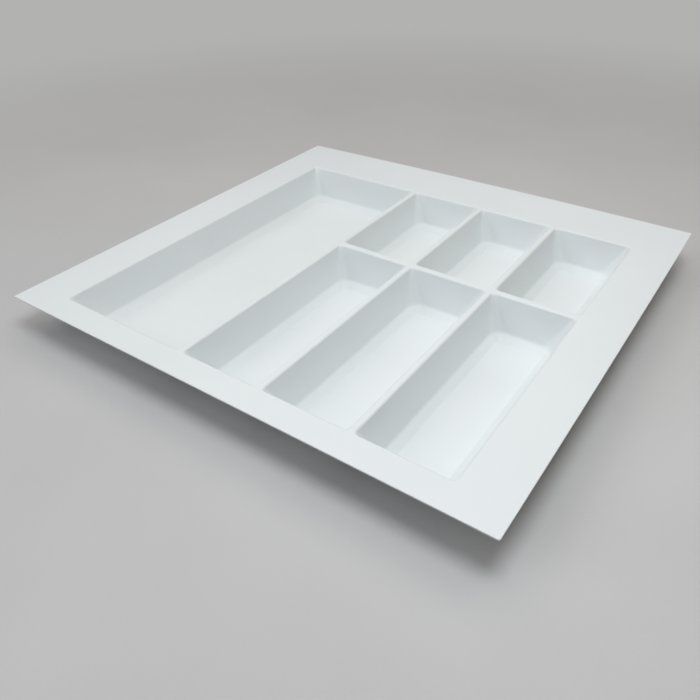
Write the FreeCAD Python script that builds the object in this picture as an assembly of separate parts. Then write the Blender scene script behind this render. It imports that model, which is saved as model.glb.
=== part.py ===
import FreeCAD, Part
import math
import os

# A drop-in cutlery tray for a kitchen drawer: one sheet of white plastic, vacuum formed into seven wells
# inside a broad flat flange that is trimmed to fit. The sheet is split along its own bend lines into named
# regions, which meet face to face: the flange's four sides, the dividers' flat caps and the seven wells.
# Millimetres. +X is the tray's right, the front edge faces -Y and +Z is up. The origin is under the middle
# of the tray, on the surface that the well floors rest on.

# The whole sheet
tray_width = 560.0
tray_depth = 535.0
well_depth = 41.2
sheet_thickness = 1.5
trim_corner_radius = 1.5

# Flange, from the trimmed edge to the wall line, where a well's wall would meet the flange's top
left_flange_width = 52.5
right_flange_width = 49.0
front_flange_width = 30.0
rear_flange_width = 73.0

# Wells and the dividers between them, measured between wall lines
cutlery_well_width = 91.2
rear_well_length = 170.0
divider_width = 6.7
cross_divider_width = 8.0

# Section through a well: rounded lip, leaning wall, bevelled foot, flat floor
wall_draft_degrees = 18.0
lip_bend_radius = 1.0
lip_land = 0.5
foot_run = 9.0
foot_rise = 5.5
upper_crease_radius = 5.0
lower_crease_radius = 2.5

# Corners of a well seen from above: at the wall line, at the top of the foot and at the floor
lip_corner_radius = 4.5
foot_corner_radius = 15.0
floor_corner_radius = 6.0

# How near an edge has to be to a place to count as lying there
pick_tolerance = 0.01

# Columns of cutlery wells, from left to right
column_names = ("left", "middle", "right")

# Heights
flange_top = well_depth + sheet_thickness
flange_underside = flange_top - sheet_thickness
foot_top = sheet_thickness + foot_rise

# Slopes of the section below the horizontal
wall_slope = math.radians(90 - wall_draft_degrees)
foot_slope = math.atan2(foot_rise, foot_run)
wall_run = (flange_top - foot_top) / math.tan(wall_slope)

# A lip's rounding ends this far outside the wall line, and a well's own patch of flange a little further out
lip_radius = lip_bend_radius + sheet_thickness
patch_margin = lip_radius * math.tan(wall_slope / 2) + lip_land

# Trimmed edges of the sheet
right_edge = tray_width / 2
left_edge = -right_edge
rear_edge = tray_depth / 2
front_edge = -rear_edge

# Wall lines
wells_left = left_edge + left_flange_width
wells_right = right_edge - right_flange_width
wells_front = front_edge + front_flange_width
wells_rear = rear_edge - rear_flange_width
rear_wells_front = wells_rear - rear_well_length
front_wells_rear = rear_wells_front - cross_divider_width
column_pitch = cutlery_well_width + divider_width
columns_left = wells_right - len(column_names) * column_pitch + divider_width
utensil_right = columns_left - divider_width


class Well:
    """The wall lines of one well, as a rectangle seen from above."""

    def __init__(self, left, right, front, rear):
        self.centre_x = (left + right) / 2
        self.centre_y = (front + rear) / 2
        self.half_width = (right - left) / 2
        self.half_length = (rear - front) / 2


def list_wells():
    """Every well by its node's name."""
    wells = {"utensil_well": Well(wells_left, utensil_right, wells_front, wells_rear)}
    for index, column in enumerate(column_names):
        left = columns_left + index * column_pitch
        right = left + cutlery_well_width
        wells[f"front_{column}_well"] = Well(left, right, wells_front, front_wells_rear)
        wells[f"rear_{column}_well"] = Well(left, right, rear_wells_front, wells_rear)
    return wells


def mitre(upper_slope, lower_slope, distance):
    """How far a bend between two slopes moves, outwards and down, on a face set off by a distance."""
    reach = distance / (1 + math.cos(upper_slope - lower_slope))
    outwards = reach * (math.sin(upper_slope) + math.sin(lower_slope))
    down = reach * (math.cos(upper_slope) + math.cos(lower_slope))
    return outwards, down


def wall_bends(distance):
    """Inset, height and corner radius of each bend of the section, on a face set off below the upper one."""
    upper_face = (
        (0, flange_top, lip_corner_radius, 0, wall_slope),
        (wall_run, foot_top, foot_corner_radius, wall_slope, foot_slope),
        (wall_run + foot_run, sheet_thickness, floor_corner_radius, foot_slope, 0),
    )
    bends = []
    for inset, height, radius, upper_slope, lower_slope in upper_face:
        outwards, down = mitre(upper_slope, lower_slope, distance)
        bends.append((inset - outwards, height - down, radius + outwards))
    return bends


def rounded_rectangle(well, inset, height, radius):
    """The four sides and four corners of a well's outline at one height, in turn."""
    reach_x = well.half_width - inset - radius
    reach_y = well.half_length - inset - radius
    up = FreeCAD.Vector(0, 0, 1)
    corners = []
    for quarter, (side_x, side_y) in enumerate(((1, 1), (-1, 1), (-1, -1), (1, -1))):
        centre = FreeCAD.Vector(well.centre_x + side_x * reach_x, well.centre_y + side_y * reach_y, height)
        corners.append(Part.makeCircle(radius, centre, up, 90 * quarter, 90 * (quarter + 1)))
    sides = []
    for quarter, corner in enumerate(corners):
        start = corners[quarter - 1].valueAt(corners[quarter - 1].LastParameter)
        end = corner.valueAt(corner.FirstParameter)
        sides.append(Part.makeLine(start, end))
    return sides, corners


def flat_quad(lower, upper):
    """The flat face between two parallel straight edges."""
    low_start, low_end = (vertex.Point for vertex in lower.Vertexes)
    high_start, high_end = (vertex.Point for vertex in upper.Vertexes)
    return Part.Face(Part.makePolygon([low_start, low_end, high_end, high_start, low_start]))


def basin(well, bends):
    """The solid inside one face of a well, from the floor up to its topmost bend, with sharp creases."""
    rings = [rounded_rectangle(well, inset, height, radius) for inset, height, radius in bends]
    faces = []
    for (upper_sides, upper_corners), (lower_sides, lower_corners) in zip(rings, rings[1:]):
        for upper, lower in zip(upper_sides, lower_sides):
            faces.append(flat_quad(lower, upper))
        for upper, lower in zip(upper_corners, lower_corners):
            faces.append(Part.makeRuledSurface(lower, upper))
    for sides, corners in (rings[0], rings[-1]):
        loop = [edge for pair in zip(sides, corners) for edge in pair]
        faces.append(Part.Face(Part.Wire(loop)))
    solid = Part.Solid(Part.Shell(faces))
    if solid.Volume < 0:
        solid.reverse()
    return solid


def edges_at(shape, height, well):
    """Level edges of a shape at a height, inside the outline of a well's own patch of flange."""
    found = []
    for edge in shape.Edges:
        box = edge.BoundBox
        level = max(box.ZMax - height, height - box.ZMin) < pick_tolerance
        reach_x = max(box.XMax - well.centre_x, well.centre_x - box.XMin)
        reach_y = max(box.YMax - well.centre_y, well.centre_y - box.YMin)
        beyond = max(reach_x - well.half_width, reach_y - well.half_length)
        if level and beyond < patch_margin - pick_tolerance:
            found.append(edge)
    return found


def creased_basin(well, distance):
    """The solid inside one face of a well, with the creases above and below its foot rounded."""
    bends = wall_bends(distance)
    solid = basin(well, bends)
    for (inset, height, corner), radius in zip(bends[1:], (upper_crease_radius, lower_crease_radius)):
        solid = solid.makeFillet(radius + distance, edges_at(solid, height, well))
    return solid


def flat_plate(left, right, front, rear):
    """A flat region of the sheet at the flange's height."""
    corner = FreeCAD.Vector(left, front, flange_underside)
    return Part.makeBox(right - left, rear - front, sheet_thickness, corner)


def well_region(well):
    """One well: its floor, bevelled foot and leaning walls, with a narrow patch of flange round its lip."""
    patch = flat_plate(
        well.centre_x - well.half_width - patch_margin,
        well.centre_x + well.half_width + patch_margin,
        well.centre_y - well.half_length - patch_margin,
        well.centre_y + well.half_length + patch_margin,
    )
    outside = creased_basin(well, sheet_thickness)
    inside = creased_basin(well, 0)
    region = patch.fuse(outside).cut(inside)
    region = region.makeFillet(lip_radius, edges_at(region, flange_top, well))
    return region.makeFillet(lip_bend_radius, edges_at(region, flange_underside, well))


def trimmed(plate, edge_y):
    """A flange side with the two corners of its trimmed edge rounded."""
    corners = []
    for edge in plate.Edges:
        box = edge.BoundBox
        upright = box.ZLength > sheet_thickness - pick_tolerance
        if upright and abs(box.Center.y - edge_y) < pick_tolerance:
            corners.append(edge)
    return plate.makeFillet(trim_corner_radius, corners)


def flat_regions():
    """The flange's four sides and the dividers' caps, between the patches of the wells."""
    inner_left = wells_left - patch_margin
    inner_right = wells_right + patch_margin
    inner_front = wells_front - patch_margin
    inner_rear = wells_rear + patch_margin
    cross_front = front_wells_rear + patch_margin
    cross_rear = rear_wells_front - patch_margin
    long_left = utensil_right + patch_margin
    long_right = columns_left - patch_margin
    regions = {
        "front_flange": trimmed(flat_plate(left_edge, right_edge, front_edge, inner_front), front_edge),
        "rear_flange": trimmed(flat_plate(left_edge, right_edge, inner_rear, rear_edge), rear_edge),
        "left_flange": flat_plate(left_edge, inner_left, inner_front, inner_rear),
        "right_flange": flat_plate(inner_right, right_edge, inner_front, inner_rear),
        "long_divider_cap": flat_plate(long_left, long_right, inner_front, inner_rear),
        "cross_divider_cap": flat_plate(long_right, inner_right, cross_front, cross_rear),
    }
    for gap in range(1, len(column_names)):
        next_well_left = columns_left + gap * column_pitch
        cap_left = next_well_left - divider_width + patch_margin
        cap_right = next_well_left - patch_margin
        regions[f"front_divider_cap_{gap}"] = flat_plate(cap_left, cap_right, inner_front, cross_front)
        regions[f"rear_divider_cap_{gap}"] = flat_plate(cap_left, cap_right, cross_rear, inner_rear)
    return regions


def build_tray():
    """Every region of the tray by its node's name."""
    nodes = flat_regions()
    for name, well in list_wells().items():
        nodes[name] = well_region(well)
    return nodes


os.makedirs("parts", exist_ok=True)
for name, shape in build_tray().items():
    [solid] = shape.Solids
    print(name, "valid" if solid.isValid() else "INVALID", round(solid.Volume))
    solid.exportStep(f"parts/{name}.step")
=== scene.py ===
import bpy
import math
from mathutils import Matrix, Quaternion, Vector


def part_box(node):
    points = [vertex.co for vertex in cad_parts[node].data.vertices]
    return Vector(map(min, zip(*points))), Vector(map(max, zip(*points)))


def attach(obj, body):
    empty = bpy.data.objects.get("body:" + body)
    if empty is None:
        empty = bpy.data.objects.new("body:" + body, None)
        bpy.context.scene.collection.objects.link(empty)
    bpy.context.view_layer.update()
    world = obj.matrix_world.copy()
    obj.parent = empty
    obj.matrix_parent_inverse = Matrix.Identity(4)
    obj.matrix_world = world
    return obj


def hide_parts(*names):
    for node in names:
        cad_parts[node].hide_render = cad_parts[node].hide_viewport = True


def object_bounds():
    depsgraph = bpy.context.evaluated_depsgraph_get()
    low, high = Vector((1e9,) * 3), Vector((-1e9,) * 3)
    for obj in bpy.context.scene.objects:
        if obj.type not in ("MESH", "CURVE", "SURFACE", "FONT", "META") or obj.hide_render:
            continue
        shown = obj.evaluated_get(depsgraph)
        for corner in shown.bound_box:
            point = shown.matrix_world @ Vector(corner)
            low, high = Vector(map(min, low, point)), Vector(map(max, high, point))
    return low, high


# A drop-in cutlery tray for a kitchen drawer, vacuum formed from one sheet of white plastic. Metres, in
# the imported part's frame: +X is the tray's right, its front edge faces -Y and its well floors rest on
# z = 0. Each region of the sheet is modelled again as a finer closed mesh in its node's place, with eased
# trim edges, a flange that has warped a little since it was trimmed and floors that crown a little.

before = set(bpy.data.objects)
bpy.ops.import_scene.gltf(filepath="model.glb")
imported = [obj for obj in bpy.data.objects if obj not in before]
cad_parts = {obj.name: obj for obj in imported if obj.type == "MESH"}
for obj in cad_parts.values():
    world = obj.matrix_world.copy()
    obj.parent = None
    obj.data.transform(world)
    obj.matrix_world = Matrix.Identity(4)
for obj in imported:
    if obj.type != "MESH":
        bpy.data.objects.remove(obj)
cad_low, cad_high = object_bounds()

# Section through a well: rounded lip, leaning wall, bevelled foot, flat floor
wall_slope = math.radians(72)
lip_radius = 0.0025
lip_land = 0.0005
foot_run = 0.009
foot_rise = 0.0055
upper_crease_radius = 0.005
lower_crease_radius = 0.0025

# Corners of a well seen from above: at the wall line, at the top of the foot and at the floor
lip_corner_radius = 0.0045
foot_corner_radius = 0.015
floor_corner_radius = 0.006

# Trimmed edge of the flange: its corners seen from above, and the easing of its two arrises
trim_corner_radius = 0.0015
trim_ease_radius = 0.0003

# How far the formed sheet departs from flat, in the middle of each flange edge and of each floor
rear_edge_lift = 0.0018
right_edge_lift = -0.003
front_edge_lift = 0.0003
floor_crown = 0.0003

# Fineness of the meshes: steps round each bend and along each straight, and the size of a flat cell
lip_steps = 7
crease_steps = 6
wall_steps = 6
bevel_steps = 2
corner_steps = 12
ease_steps = 4
cell_size = 0.012

# A narrow plate is at least this many times as wide as the blocks of mesh at its corners
plate_blocks = 3

# Faces that meet more sharply than this have a hard edge between them
sharp_angle = math.radians(40)

# Finish of the sheet: two tints, a range of roughness, and noises, each by its size and levels of detail
sheet_tints = ((0.696, 0.729, 0.729, 1), (0.718, 0.751, 0.751, 1))
sheet_roughness = (0.44, 0.56)
sheet_patch = (0.11, 4)
sheet_gloss_patch = (0.035, 6)
sheet_wave = (0.06, 1)
sheet_wave_depth = 0.0004
sheet_grain = (0.0009, 3)
sheet_grain_depth = 0.00002

# Finish of the floor, in the same terms
floor_tints = ((0.490, 0.485, 0.480, 1), (0.520, 0.515, 0.510, 1))
floor_roughness = (0.65, 0.8)
floor_patch = (0.25, 6)
floor_gloss_patch = (0.1, 6)
floor_grain = (0.004, 4)
floor_grain_depth = 0.0002

# Nearly all the values of a noise lie in this range
noise_low = 0.3
noise_high = 0.7

# How far the floor reaches from the tray's middle, and where it fades into the backdrop
floor_reach = 8
fade_start = 0.45
fade_end = 1.5
backdrop_colour = (0.445, 0.445, 0.44, 1)

# Studio: light from all round, and soft round lamps by place, width, watts and colour
surround_colour = (1, 1, 1, 1)
surround_strength = 0.15
lamps = {
    "panel": ((-0.5, 0.5, 2), 3, 19.2, (1, 0.943, 0.887)),
    "key": ((0.25, -0.25, 1), 0.5, 4.94, (0.887, 0.943, 1)),
    "front": ((-1.2, -1.4, 1.4), 1.5, 14.4, (0.92, 0.943, 1)),
    "side": ((2.3, 0.2, 1.5), 2, 5.66, (1, 0.959, 0.901)),
    "rear": ((0.5, 0.5, 1), 0.5, 1.24, (1, 0.943, 0.896)),
}

# The photograph's viewpoint
camera_place = (0.3656, -0.5528, 0.4153)
camera_azimuth = math.radians(35.83)
camera_elevation = math.radians(36.74)
camera_roll = math.radians(-1.365)
camera_lens = 34.34
camera_sensor = 36

# Which way each corner of a rectangle lies from its middle, anticlockwise from the right rear one
corner_sides = ((1, 1), (-1, 1), (-1, -1), (1, -1))

# Sizes that the frame gives
flange_low, flange_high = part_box("left_flange")
flange_top = flange_high.z
sheet_thickness = flange_high.z - flange_low.z
foot_top = sheet_thickness + foot_rise
wall_run = (flange_top - foot_top) / math.tan(wall_slope)
foot_slope = math.atan2(foot_rise, foot_run)
lip_reach = lip_radius * math.tan(wall_slope / 2)
patch_margin = lip_reach + lip_land
wells_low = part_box("utensil_well")[0]
wells_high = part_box("rear_right_well")[1]


class SheetMesh:
    """Points and faces of one region of the sheet, built up from rings of points round a rectangle."""

    def __init__(self, steps_x, steps_y):
        self.steps = (steps_x, steps_y)
        self.points = []
        self.faces = []

    def add(self, point):
        """Adds a point and returns its number."""
        self.points.append(point)
        return len(self.points) - 1

    def ring(self, left, right, front, rear, height, radius, square):
        """Adds points round a rectangle, anticlockwise from the rear end of its right side. Returns each
        corner's points, rounded or square, with those of the side that follows it."""
        corners = []
        for quarter, (side_x, side_y) in enumerate(corner_sides):
            centre_x = right - radius if side_x > 0 else left + radius
            centre_y = rear - radius if side_y > 0 else front + radius
            corner = []
            for step in range(corner_steps + 1):
                angle = (quarter + step / corner_steps) * math.pi / 2
                along_x = math.cos(angle)
                along_y = math.sin(angle)
                reach = radius / max(abs(along_x), abs(along_y)) if square[quarter] else radius
                place_x = centre_x + reach * along_x
                place_y = centre_y + reach * along_y
                corner.append(self.add((place_x, place_y, height)))
            corners.append(corner)
        runs = []
        for quarter, corner in enumerate(corners):
            next_corner = corners[(quarter + 1) % len(corners)]
            start = Vector(self.points[corner[-1]])
            end = Vector(self.points[next_corner[0]])
            steps = self.steps[quarter % 2]
            between = [self.add(start.lerp(end, step / steps)) for step in range(1, steps)]
            runs.append((corner, [corner[-1], *between, next_corner[0]]))
        return runs

    def bridge(self, first, second):
        """Adds faces between two neighbouring rings, the first of them nearer to the underside's middle."""
        for (first_corner, first_side), (second_corner, second_side) in zip(first, second):
            for outer, inner in ((first_corner, second_corner), (first_side, second_side)):
                for step in range(len(outer) - 1):
                    self.faces.append((inner[step + 1], inner[step], outer[step], outer[step + 1]))

    def fill(self, ring, crown, upwards):
        """Closes a ring with a grid that rises in its middle by the crown."""
        steps_x, steps_y = self.steps
        front, right = ring[2][1], ring[3][1]
        height = self.points[front[0]][2]
        grid = []
        for column in range(steps_x + 1):
            across = 1 - (2 * column / steps_x - 1) ** 2
            line = []
            for row in range(steps_y + 1):
                along = 1 - (2 * row / steps_y - 1) ** 2
                place_x = self.points[front[column]][0]
                place_y = self.points[right[row]][1]
                line.append(self.add((place_x, place_y, height + crown * across * along)))
            grid.append(line)
        faces = []
        for column in range(steps_x):
            for row in range(steps_y):
                near, far = grid[column], grid[column + 1]
                faces.append((near[row], far[row], far[row + 1], near[row + 1]))
        rows = (
            [grid[steps_x - step][steps_y] for step in range(steps_x + 1)],
            [grid[0][steps_y - step] for step in range(steps_y + 1)],
            [grid[step][0] for step in range(steps_x + 1)],
            [grid[steps_x][step] for step in range(steps_y + 1)],
        )
        for (corner, side), inner in zip(ring, rows):
            for step in range(len(side) - 1):
                faces.append((inner[step + 1], inner[step], side[step], side[step + 1]))
            for step in range(corner_steps):
                faces.append((inner[0], corner[step], corner[step + 1]))
        self.faces.extend(faces if upwards else [face[::-1] for face in faces])

    def close(self, rings, crown):
        """Joins rings that run from the underside's middle, round the edge, to the top's middle."""
        for first, second in zip(rings, rings[1:]):
            self.bridge(first, second)
        self.fill(rings[0], crown, upwards=False)
        self.fill(rings[-1], crown, upwards=True)


def bend(centre_inset, centre_height, radius, first_slope, last_slope, steps):
    """Stations round one bend, as inset, height and slope. A hollow bend has a negative radius."""
    stations = []
    for step in range(steps + 1):
        slope = first_slope + (last_slope - first_slope) * step / steps
        inset = centre_inset + radius * math.sin(slope)
        stations.append((inset, centre_height + radius * math.cos(slope), slope))
    return stations


def crease(corner_inset, corner_height, radius, first_slope, last_slope):
    """Stations round a crease whose two slopes would meet at a corner."""
    reach = radius * math.tan((first_slope - last_slope) / 2)
    centre_inset = corner_inset - reach * math.cos(first_slope) + radius * math.sin(first_slope)
    centre_height = corner_height + reach * math.sin(first_slope) + radius * math.cos(first_slope)
    return bend(centre_inset, centre_height, -radius, first_slope, last_slope, crease_steps)


def straight(start, end, steps):
    """Stations between two others."""
    shares = [step / steps for step in range(1, steps)]
    return [tuple(a + (b - a) * share for a, b in zip(start, end)) for share in shares]


def well_section():
    """Stations of the sheet's upper face from the flange down to the floor."""
    lip = bend(-lip_reach, flange_top - lip_radius, lip_radius, 0, wall_slope, lip_steps)
    upper_crease = crease(wall_run, foot_top, upper_crease_radius, wall_slope, foot_slope)
    lower_crease = crease(wall_run + foot_run, sheet_thickness, lower_crease_radius, foot_slope, 0)
    wall = straight(lip[-1], upper_crease[0], wall_steps)
    bevel = straight(upper_crease[-1], lower_crease[0], bevel_steps)
    return lip + wall + upper_crease + bevel + lower_crease


def corner_radius(inset):
    """Radius of a well's corner seen from above, at an inset from its wall line."""
    if inset < 0:
        return lip_corner_radius - inset
    if inset < wall_run:
        return lip_corner_radius + (foot_corner_radius - lip_corner_radius) * inset / wall_run
    share = min((inset - wall_run) / foot_run, 1)
    return foot_corner_radius + (floor_corner_radius - foot_corner_radius) * share


def cells(length):
    """How many cells a length of the sheet is cut into."""
    return max(1, round(length / cell_size))


def well_mesh(low, high):
    """One well with its narrow patch of flange, from the box of its node."""
    left, right = low.x + patch_margin, high.x - patch_margin
    front, rear = low.y + patch_margin, high.y - patch_margin
    mesh = SheetMesh(cells(right - left), cells(rear - front))
    rounded = [False for corner in corner_sides]
    squared = [True for corner in corner_sides]
    section = well_section()

    def ring(inset, height, radius, square):
        sides = (left + inset, right - inset, front + inset, rear - inset)
        return mesh.ring(*sides, height, radius, square)

    def rim(height):
        return ring(-patch_margin, height, corner_radius(-patch_margin), squared)

    rings = []
    for inset, height, slope in reversed(section):
        outwards = sheet_thickness * math.sin(slope)
        lower_height = height - sheet_thickness * math.cos(slope)
        rings.append(ring(inset - outwards, lower_height, corner_radius(inset) + outwards, rounded))
    rings.append(rim(flange_top - sheet_thickness))
    rings.append(rim(flange_top))
    for inset, height, slope in section:
        rings.append(ring(inset, height, corner_radius(inset), rounded))
    mesh.close(rings, floor_crown)
    return mesh


def plate_mesh(low, high):
    """One flat region, from the box of its node. Its sides on the sheet's trimmed edge are eased."""
    mesh = SheetMesh(cells(high.x - low.x), cells(high.y - low.y))
    trim_left = low.x == cad_low.x
    trim_right = high.x == cad_high.x
    trim_front = low.y == cad_low.y
    trim_rear = high.y == cad_high.y
    square = []
    for side_x, side_y in corner_sides:
        trim_x = trim_right if side_x > 0 else trim_left
        trim_y = trim_rear if side_y > 0 else trim_front
        square.append(not (trim_x and trim_y))
    block = min(trim_corner_radius, (high.x - low.x) / plate_blocks, (high.y - low.y) / plate_blocks)

    def ring(ease, height):
        return mesh.ring(
            low.x + ease * trim_left,
            high.x - ease * trim_right,
            low.y + ease * trim_front,
            high.y - ease * trim_rear,
            height,
            block - ease,
            square,
        )

    rings = []
    for centre, first_turn in ((low.z + trim_ease_radius, -1), (high.z - trim_ease_radius, 0)):
        for step in range(ease_steps + 1):
            turn = (first_turn + step / ease_steps) * math.pi / 2
            ease = trim_ease_radius * (1 - math.cos(turn))
            rings.append(ring(ease, centre + trim_ease_radius * math.sin(turn)))
    mesh.close(rings, 0)
    return mesh


def warp(point):
    """A point moved as the flange has warped: not at the wells, and most in the middle of an edge."""
    x, y, z = point
    past_rear = max(0, y - wells_high.y) / (cad_high.y - wells_high.y)
    past_front = max(0, wells_low.y - y) / (wells_low.y - cad_low.y)
    past_right = max(0, x - wells_high.x) / (cad_high.x - wells_high.x)
    middle_x = 1 - (x / cad_high.x) ** 2
    middle_y = 1 - (y / cad_high.y) ** 2
    lift = rear_edge_lift * past_rear**2 * middle_x
    lift += front_edge_lift * past_front**2 * middle_x
    lift += right_edge_lift * past_right**2 * middle_y
    return x, y, z + lift


def add_object(name, data):
    """A new object in the scene."""
    added = bpy.data.objects.new(name, data)
    bpy.context.scene.collection.objects.link(added)
    return added


def add_piece(node, mesh, material):
    """Makes a piece of a region's mesh and puts it in its node's place."""
    data = bpy.data.meshes.new(f"{node}_sheet")
    data.from_pydata([warp(point) for point in mesh.points], [], mesh.faces)
    data.shade_smooth()
    data.set_sharp_from_angle(angle=sharp_angle)
    data.materials.append(material)
    piece = add_object(data.name, data)
    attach(piece, "root")
    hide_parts(node)


def new_material(name):
    """A node material with its tree, its principled shader and the object's own coordinates."""
    material = bpy.data.materials.new(name)
    material.use_nodes = True
    tree = material.node_tree
    coordinates = tree.nodes.new("ShaderNodeTexCoord").outputs["Object"]
    return material, tree, tree.nodes["Principled BSDF"], coordinates


def noise(tree, coordinates, size, detail):
    """Noise whose features have a size in metres."""
    node = tree.nodes.new("ShaderNodeTexNoise")
    node.inputs["Scale"].default_value = 1 / size
    node.inputs["Detail"].default_value = detail
    tree.links.new(coordinates, node.inputs["Vector"])
    return node.outputs["Fac"]


def spread(tree, value, low, high):
    """A noise value stretched over a range."""
    node = tree.nodes.new("ShaderNodeMapRange")
    node.inputs["From Min"].default_value = noise_low
    node.inputs["From Max"].default_value = noise_high
    node.inputs["To Min"].default_value = low
    node.inputs["To Max"].default_value = high
    tree.links.new(value, node.inputs["Value"])
    return node.outputs["Result"]


def bump(tree, value, depth, under=None):
    """A bump of a depth in metres, over another one."""
    node = tree.nodes.new("ShaderNodeBump")
    node.inputs["Distance"].default_value = depth
    tree.links.new(value, node.inputs["Height"])
    if under:
        tree.links.new(under, node.inputs["Normal"])
    return node.outputs["Normal"]


def tint(tree, value, colours):
    """A colour between two, by a value from 0 to 1."""
    node = tree.nodes.new("ShaderNodeMix")
    node.data_type = "RGBA"
    node.inputs["A"].default_value, node.inputs["B"].default_value = colours
    tree.links.new(value, node.inputs["Factor"])
    return node.outputs["Result"]


def mottle(tree, shader, coordinates, patch, tints, gloss_patch, roughness):
    """Gives a shader patches of two tints, and others that are a little smoother or duller."""
    patches = spread(tree, noise(tree, coordinates, *patch), 0, 1)
    tree.links.new(tint(tree, patches, tints), shader.inputs["Base Color"])
    gloss = spread(tree, noise(tree, coordinates, *gloss_patch), *roughness)
    tree.links.new(gloss, shader.inputs["Roughness"])


def math_node(tree, operation, first, second):
    """A node that works out one number from two."""
    node = tree.nodes.new("ShaderNodeMath")
    node.operation = operation
    tree.links.new(first, node.inputs[0])
    tree.links.new(second, node.inputs[1])
    return node.outputs["Value"]


def plainly_seen(tree):
    """1 for rays from the camera, also mirrored or through glass, and 0 for rays that carry light."""
    path = tree.nodes.new("ShaderNodeLightPath").outputs
    mirrored = math_node(tree, "MAXIMUM", path["Is Camera Ray"], path["Is Glossy Ray"])
    return math_node(tree, "MAXIMUM", mirrored, path["Is Transmission Ray"])


def plastic():
    """White satin sheet, faintly mottled, with a fine grain over a slow waviness."""
    material, tree, shader, coordinates = new_material("white_sheet")
    mottle(tree, shader, coordinates, sheet_patch, sheet_tints, sheet_gloss_patch, sheet_roughness)
    waves = bump(tree, noise(tree, coordinates, *sheet_wave), sheet_wave_depth)
    grain = bump(tree, noise(tree, coordinates, *sheet_grain), sheet_grain_depth, waves)
    tree.links.new(grain, shader.inputs["Normal"])
    return material


def floor_finish():
    """Plain pale floor, matt with a faint mottle, that fades into the backdrop away from the tray."""
    material, tree, shader, coordinates = new_material("floor")
    mottle(tree, shader, coordinates, floor_patch, floor_tints, floor_gloss_patch, floor_roughness)
    grain = bump(tree, noise(tree, coordinates, *floor_grain), floor_grain_depth)
    tree.links.new(grain, shader.inputs["Normal"])
    distance = tree.nodes.new("ShaderNodeVectorMath")
    distance.operation = "LENGTH"
    tree.links.new(coordinates, distance.inputs[0])
    fade = tree.nodes.new("ShaderNodeMapRange")
    fade.interpolation_type = "SMOOTHSTEP"
    fade.inputs["From Min"].default_value = fade_start
    fade.inputs["From Max"].default_value = fade_end
    tree.links.new(distance.outputs["Value"], fade.inputs["Value"])
    backdrop = tree.nodes.new("ShaderNodeEmission")
    backdrop.inputs["Color"].default_value = backdrop_colour
    mix = tree.nodes.new("ShaderNodeMixShader")
    share = math_node(tree, "MULTIPLY", fade.outputs["Result"], plainly_seen(tree))
    tree.links.new(share, mix.inputs["Fac"])
    tree.links.new(shader.outputs["BSDF"], mix.inputs[1])
    tree.links.new(backdrop.outputs["Emission"], mix.inputs[2])
    tree.links.new(mix.outputs["Shader"], tree.nodes["Material Output"].inputs["Surface"])
    return material


def add_floor():
    """The surface that the tray stands on."""
    corners = [(x * floor_reach, y * floor_reach, 0) for x, y in corner_sides]
    data = bpy.data.meshes.new("floor")
    data.from_pydata(corners, [], [(0, 1, 2, 3)])
    data.materials.append(floor_finish())
    floor = add_object("floor", data)


def add_lamp(name, place, width, power, colour):
    """A round soft lamp that points at the tray."""
    data = bpy.data.lights.new(name, "AREA")
    data.shape = "DISK"
    data.size = width
    data.energy = power
    data.color = colour
    lamp = add_object(name, data)
    lamp.location = place
    lamp.rotation_mode = "QUATERNION"
    lamp.rotation_quaternion = (-Vector(place)).to_track_quat("-Z", "Y")


def add_surround():
    """A world that adds a little light from all round, and looks like the backdrop where it is seen."""
    world = bpy.data.worlds.new("surround")
    world.use_nodes = True
    tree = world.node_tree
    light = tree.nodes["Background"]
    light.inputs["Color"].default_value = surround_colour
    light.inputs["Strength"].default_value = surround_strength
    backdrop = tree.nodes.new("ShaderNodeBackground")
    backdrop.inputs["Color"].default_value = backdrop_colour
    mix = tree.nodes.new("ShaderNodeMixShader")
    tree.links.new(plainly_seen(tree), mix.inputs["Fac"])
    tree.links.new(light.outputs["Background"], mix.inputs[1])
    tree.links.new(backdrop.outputs["Background"], mix.inputs[2])
    tree.links.new(mix.outputs["Shader"], tree.nodes["World Output"].inputs["Surface"])
    bpy.context.scene.world = world


def add_camera():
    """The photograph's own viewpoint."""
    data = bpy.data.cameras.new("camera")
    data.lens = camera_lens
    data.sensor_width = camera_sensor
    viewer = add_object("camera", data)
    viewer.location = camera_place
    level = math.cos(camera_elevation)
    ahead_x = -math.sin(camera_azimuth) * level
    ahead_y = math.cos(camera_azimuth) * level
    ahead = Vector((ahead_x, ahead_y, -math.sin(camera_elevation)))
    viewer.rotation_mode = "QUATERNION"
    viewer.rotation_quaternion = ahead.to_track_quat("-Z", "Y") @ Quaternion((0, 0, 1), camera_roll)
    bpy.context.scene.camera = viewer


white_sheet = plastic()
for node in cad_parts:
    low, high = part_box(node)
    if node.endswith("_well"):
        add_piece(node, well_mesh(low, high), white_sheet)
    else:
        add_piece(node, plate_mesh(low, high), white_sheet)
add_floor()
for name, (place, width, power, colour) in lamps.items():
    add_lamp(name, place, width, power, colour)
add_surround()
add_camera()
bpy.context.scene.view_settings.view_transform = "Standard"
